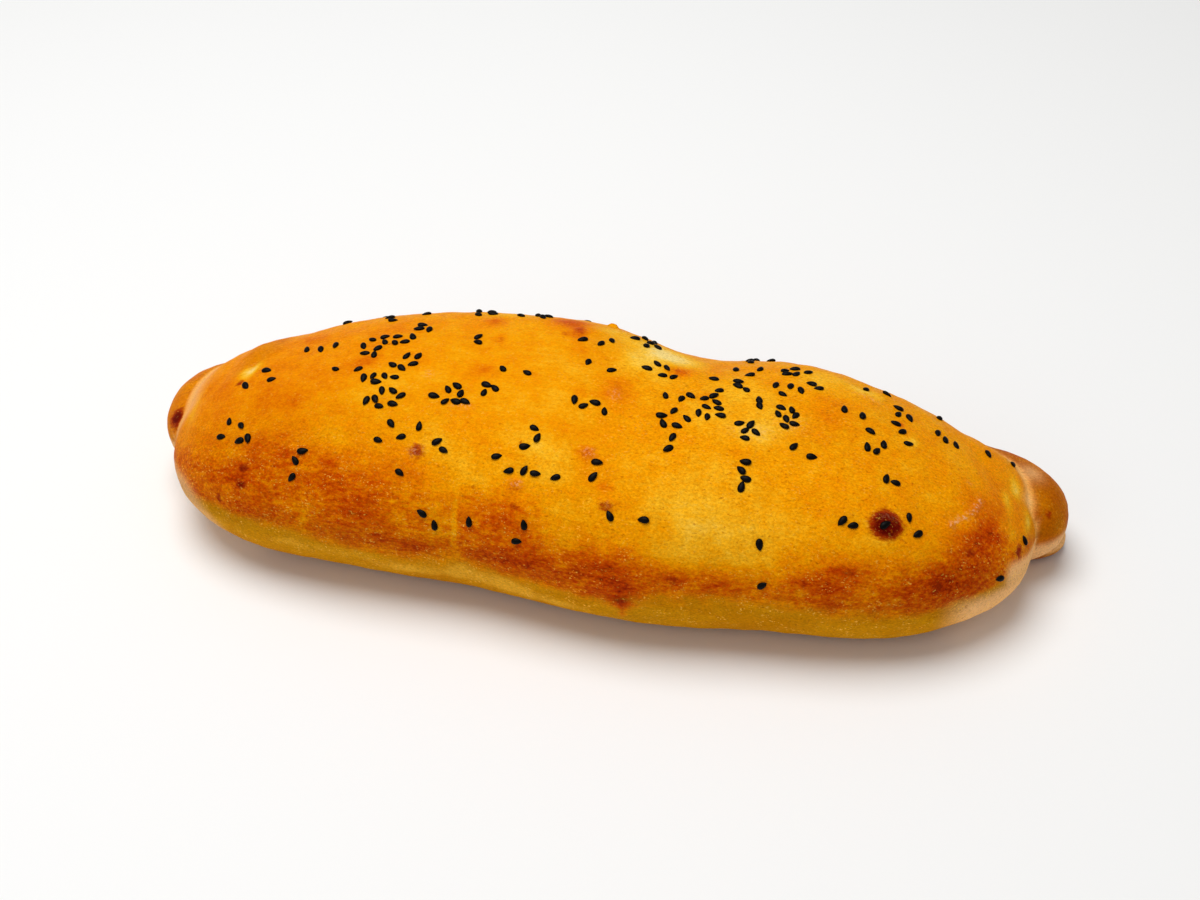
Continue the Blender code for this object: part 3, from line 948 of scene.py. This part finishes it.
SEED_LENGTH, SEED_WIDTH, SEED_THICKNESS = 3.0, 1.8, 1.1
# Share of its thickness that a seed is pressed into the crust
SEED_SUNK = 0.28
# Least distance between seeds in mm, tries at a free place for each, and the draw's seed
SEED_GAP, SEED_TRIES, SEED_DRAW = 2.5, 40, 17
# Sprinkled patches: place along, turn, half length and half width in mm, number of seeds.
# The last three are on the hidden back.
SPRINKLES = (
    (-97, 1, 8, 4, 3),
    (-97, 31, 6, 4, 5),
    (-81, -41, 2, 1, 1),
    (-81, -12, 6, 2, 3),
    (-78, 50, 2, 6, 3),
    (-72, 5, 6, 2, 2),
    (-65, -6, 4, 6, 7),
    (-61, -35, 7, 5, 3),
    (-60, 9, 5, 2, 7),
    (-58, -10, 3, 3, 4),
    (-57, 19, 5, 3, 7),
    (-54, -19, 3, 3, 3),
    (-52, 2, 6, 5, 5),
    (-52, 33, 7, 4, 4),
    (-48, 53, 1, 1, 2),
    (-39, -39, 5, 3, 4),
    (-39, 16, 5, 4, 7),
    (-38, 39, 3, 2, 2),
    (-37, -12, 1, 3, 2),
    (-35, 72, 7, 5, 3),
    (-30, 12, 3, 2, 3),
    (-26, -37, 6, 3, 4),
    (-23, 43, 4, 3, 2),
    (-21, 2, 8, 1, 2),
    (-16, 28, 3, 4, 3),
    (-16, 72, 7, 4, 2),
    (-11, 42, 5, 1, 3),
    (-5, -22, 5, 5, 3),
    (-4, -4, 7, 3, 2),
    (-2, 10, 7, 5, 4),
    (3, 34, 1, 7, 2),
    (8, -36, 5, 5, 6),
    (12, 53, 5, 2, 2),
    (13, -14, 6, 4, 5),
    (19, -2, 5, 2, 3),
    (20, 8, 4, 3, 5),
    (20, 18, 1, 4, 2),
    (29, 2, 4, 6, 8),
    (32, -12, 7, 4, 5),
    (36, -26, 5, 5, 3),
    (37, -48, 2, 2, 2),
    (39, 10, 4, 3, 5),
    (40, 28, 1, 4, 4),
    (41, -3, 2, 2, 3),
    (48, -31, 6, 5, 5),
    (48, -12, 4, 3, 4),
    (49, 2, 4, 4, 7),
    (50, 71, 9, 8, 2),
    (55, 15, 6, 8, 2),
    (57, -19, 3, 2, 2),
    (67, 43, 3, 2, 2),
    (69, -8, 6, 1, 2),
    (72, 3, 4, 4, 4),
    (73, -35, 9, 3, 2),
    (76, 20, 3, 1, 2),
    (77, 40, 1, 1, 1),
    (80, -7, 5, 4, 3),
    (80, -23, 2, 3, 3),
    (84, 38, 2, 3, 2),
    (90, -41, 2, 1, 1),
    (92, -17, 5, 2, 3),
    (106, -38, 6, 8, 2),
    (109, 71, 1, 1, 1),
    (115, 36, 1, 1, 1),
    (-55, -60, 22, 8, 4),
    (5, -64, 18, 8, 3),
    (55, -60, 20, 8, 4),
)


def frame_at(place, turn, heading):
    """Matrix with its origin on the crust and +Z square to it, turned by heading degrees."""
    near = 0.5
    lengthwise = loaf_point(place + near, turn) - loaf_point(place - near, turn)
    around = loaf_point(place, turn + near) - loaf_point(place, turn - near)
    normal = around.cross(lengthwise).normalized()
    forward = Matrix.Rotation(math.radians(heading), 3, normal) @ lengthwise.normalized()
    matrix = Matrix((forward, normal.cross(forward), normal)).transposed().to_4x4()
    matrix.translation = loaf_point(place, turn)
    return matrix


def seed_frames():
    """Places for the seeds: a seeded draw in each sprinkled patch that keeps them apart."""
    draw = random.Random(SEED_DRAW)
    frames = []
    for place, turn, half_length, half_width, number in SPRINKLES:
        mm_per_degree = (loaf_point(place, turn + 1) - loaf_point(place, turn - 1)).length / 2
        for _ in range(number):
            for _ in range(SEED_TRIES):
                reach, angle = math.sqrt(draw.random()), draw.uniform(0, 2 * math.pi)
                seed_place = place + half_length * reach * math.cos(angle)
                seed_turn = turn + half_width * reach * math.sin(angle) / mm_per_degree
                frame = frame_at(seed_place, seed_turn, draw.uniform(0, 360.0))
                spot = frame.translation
                if all((spot - other.translation).length > SEED_GAP for other in frames):
                    frames.append(frame)
                    break
    return frames


SEED_ROWS, SEED_AROUND = 12, 12
# The drop's girth is FULLNESS * sqrt(t) * (1 - t) ** TAPER, which is 1 where it's widest
FULLNESS, TAPER = 2.32, 0.75
KEEL_HEIGHT, KEEL_POWER = 0.10, 8


def seed_rings(frame, size, bend):
    """Drop, blunt at one end and pointed at the other, a little flattened, with a low keel."""

    def point(row, column):
        t = (1 - math.cos(math.pi * row / SEED_ROWS)) / 2
        girth = FULLNESS * math.sqrt(t) * (1 - t) ** TAPER
        a = 2 * math.pi * column / SEED_AROUND
        y = SEED_WIDTH / 2 * girth * math.cos(a) + bend * 4 * t * (1 - t)
        keel = 1 + KEEL_HEIGHT * max(math.sin(a), 0) ** KEEL_POWER
        z = SEED_THICKNESS / 2 * girth * math.sin(a) * keel + SEED_THICKNESS * (0.5 - SEED_SUNK)
        return frame @ Vector((SEED_LENGTH * (t - 0.5) * size, y * size, z * size))

    rings = [[point(i, j) for j in range(SEED_AROUND)] for i in range(1, SEED_ROWS)]
    return point(0, 0), rings, point(SEED_ROWS, 0)


# No two seeds are alike: sizes, and the most that one tilts and rolls in degrees and bends in mm
SEED_SIZES = (0.92, 1.08)
SEED_TILT, SEED_ROLL, SEED_BEND = 9, 12, 0.12
# Each falls onto the crust from this height in mm
DROP_FROM = 6.0
crust_tree = BVHTree.FromPolygons(
    [vertex.co.copy() for vertex in crust.data.vertices],
    [tuple(face.vertices) for face in crust.data.polygons],
)
vary = random.Random(5)
form = bmesh.new()
for seed_frame in seed_frames():
    normal = seed_frame.to_3x3() @ Vector((0, 0, 1))
    above = (seed_frame.translation - BOX_MIDDLE + DROP_FROM * normal) * MM
    hit = crust_tree.ray_cast(above, -normal)[0]
    if hit is not None:
        seed_frame.translation = hit / MM + BOX_MIDDLE
    tilt = Matrix.Rotation(math.radians(vary.uniform(-SEED_TILT, SEED_TILT)), 4, "Y")
    roll = Matrix.Rotation(math.radians(vary.uniform(-SEED_ROLL, SEED_ROLL)), 4, "X")
    size = vary.uniform(*SEED_SIZES)
    bend = vary.uniform(-SEED_BEND, SEED_BEND)
    add_rings(form, *seed_rings(seed_frame @ tilt @ roll, size, bend))
bmesh.ops.recalc_face_normals(form, faces=form.faces)
seeds_mesh = bpy.data.meshes.new("seeds")
form.to_mesh(seeds_mesh)
form.free()
seeds = bpy.data.objects.new("seeds", seeds_mesh)
bpy.context.scene.collection.objects.link(seeds)
seeds.data.shade_smooth()

# Black seed coat: almost black with a brown cast, finely ridged and faintly oily
seed_coat = bpy.data.materials.new("black_seed_coat")
seed_coat.use_nodes = True
tree = seed_coat.node_tree
tree.nodes.clear()
seed_pattern = lay_patterns(tree, {"coat": (1.4, 2.0, 1.0), "ridge": (0.22, 3.0, 1.0)})
browned = add(tree, "MapRange", {0: seed_pattern["coat"], 1: 0.45, 2: 0.75}, **SMOOTH)
ridge = seed_pattern["ridge"]
surface = add(
    tree,
    "BsdfPrincipled",
    {
        "Base Color": lay_over(tree, colour("030202"), ((browned, colour("0D0805")),)),
        "Roughness": add(tree, "Math", {0: ridge, 1: 0.3, 2: 0.32}, operation="MULTIPLY_ADD"),
        "Normal": add(tree, "Bump", {"Strength": 0.5, "Distance": 0.05 * MM, "Height": ridge}),
        "Specular IOR Level": 0.08,
    },
)
add(tree, "OutputMaterial", {"Surface": surface})
seeds.data.materials.append(seed_coat)
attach(seeds, "root")

# Stage
# A plain pale floor under soft light from above, and the photo's camera

FLOOR_HALF = 2.5
floor_mesh = bpy.data.meshes.new("floor")
corners = [(x * FLOOR_HALF, y * FLOOR_HALF, 0) for x, y in ((-1, -1), (1, -1), (1, 1), (-1, 1))]
floor_mesh.from_pydata(corners, [], [(0, 1, 2, 3)])
floor = bpy.data.objects.new("floor", floor_mesh)
bpy.context.scene.collection.objects.link(floor)
pale_floor = bpy.data.materials.new("pale_floor")
pale_floor.use_nodes = True
pale = pale_floor.node_tree.nodes["Principled BSDF"]
pale.inputs["Base Color"].default_value = colour("F0F0EF")
pale.inputs["Roughness"].default_value = 0.9
pale.inputs["Specular IOR Level"].default_value = 0.1
floor.data.materials.append(pale_floor)


def add_softbox(name, location, target, size, power):
    """Round soft lamp aimed at a target, with its size in metres and its power in watts."""
    lamp = bpy.data.lights.new(name, "AREA")
    lamp.shape = "DISK"
    lamp.size = size
    lamp.energy = power
    holder = bpy.data.objects.new(name, lamp)
    holder.location = location
    direction = Vector(target) - Vector(location)
    holder.rotation_euler = direction.to_track_quat("-Z", "Y").to_euler()
    bpy.context.scene.collection.objects.link(holder)


add_softbox("key", (-0.2, 0.05, 1.1), (0, 0, 0.02), 0.8, 10.5)
add_softbox("fill", (-0.6, -0.9, 0.7), (0, 0, 0.03), 0.8, 1.6)

world = bpy.data.worlds.new("studio")
world.use_nodes = True
backdrop = world.node_tree.nodes["Background"]
backdrop.inputs["Color"].default_value = (1.0, 1.0, 1.0, 1.0)
backdrop.inputs["Strength"].default_value = 0.33
bpy.context.scene.world = world
bpy.context.scene.view_settings.view_transform = "Standard"

ELEVATION, AZIMUTH = math.radians(42.0), math.radians(9.5)
CAMERA_DISTANCE = 460.0
AIM = Vector((-1.0, 0.5, 29.0)) - BOX_MIDDLE
back = Vector(
    (
        math.sin(AZIMUTH) * math.cos(ELEVATION),
        -math.cos(AZIMUTH) * math.cos(ELEVATION),
        math.sin(ELEVATION),
    )
)
camera_data = bpy.data.cameras.new("camera")
camera_data.lens = 50.0
camera_data.sensor_width = 36.0
camera = bpy.data.objects.new("camera", camera_data)
camera.location = (AIM + back * CAMERA_DISTANCE) * MM
camera.rotation_euler = back.to_track_quat("Z", "Y").to_euler()
bpy.context.scene.collection.objects.link(camera)
bpy.context.scene.camera = camera

import json
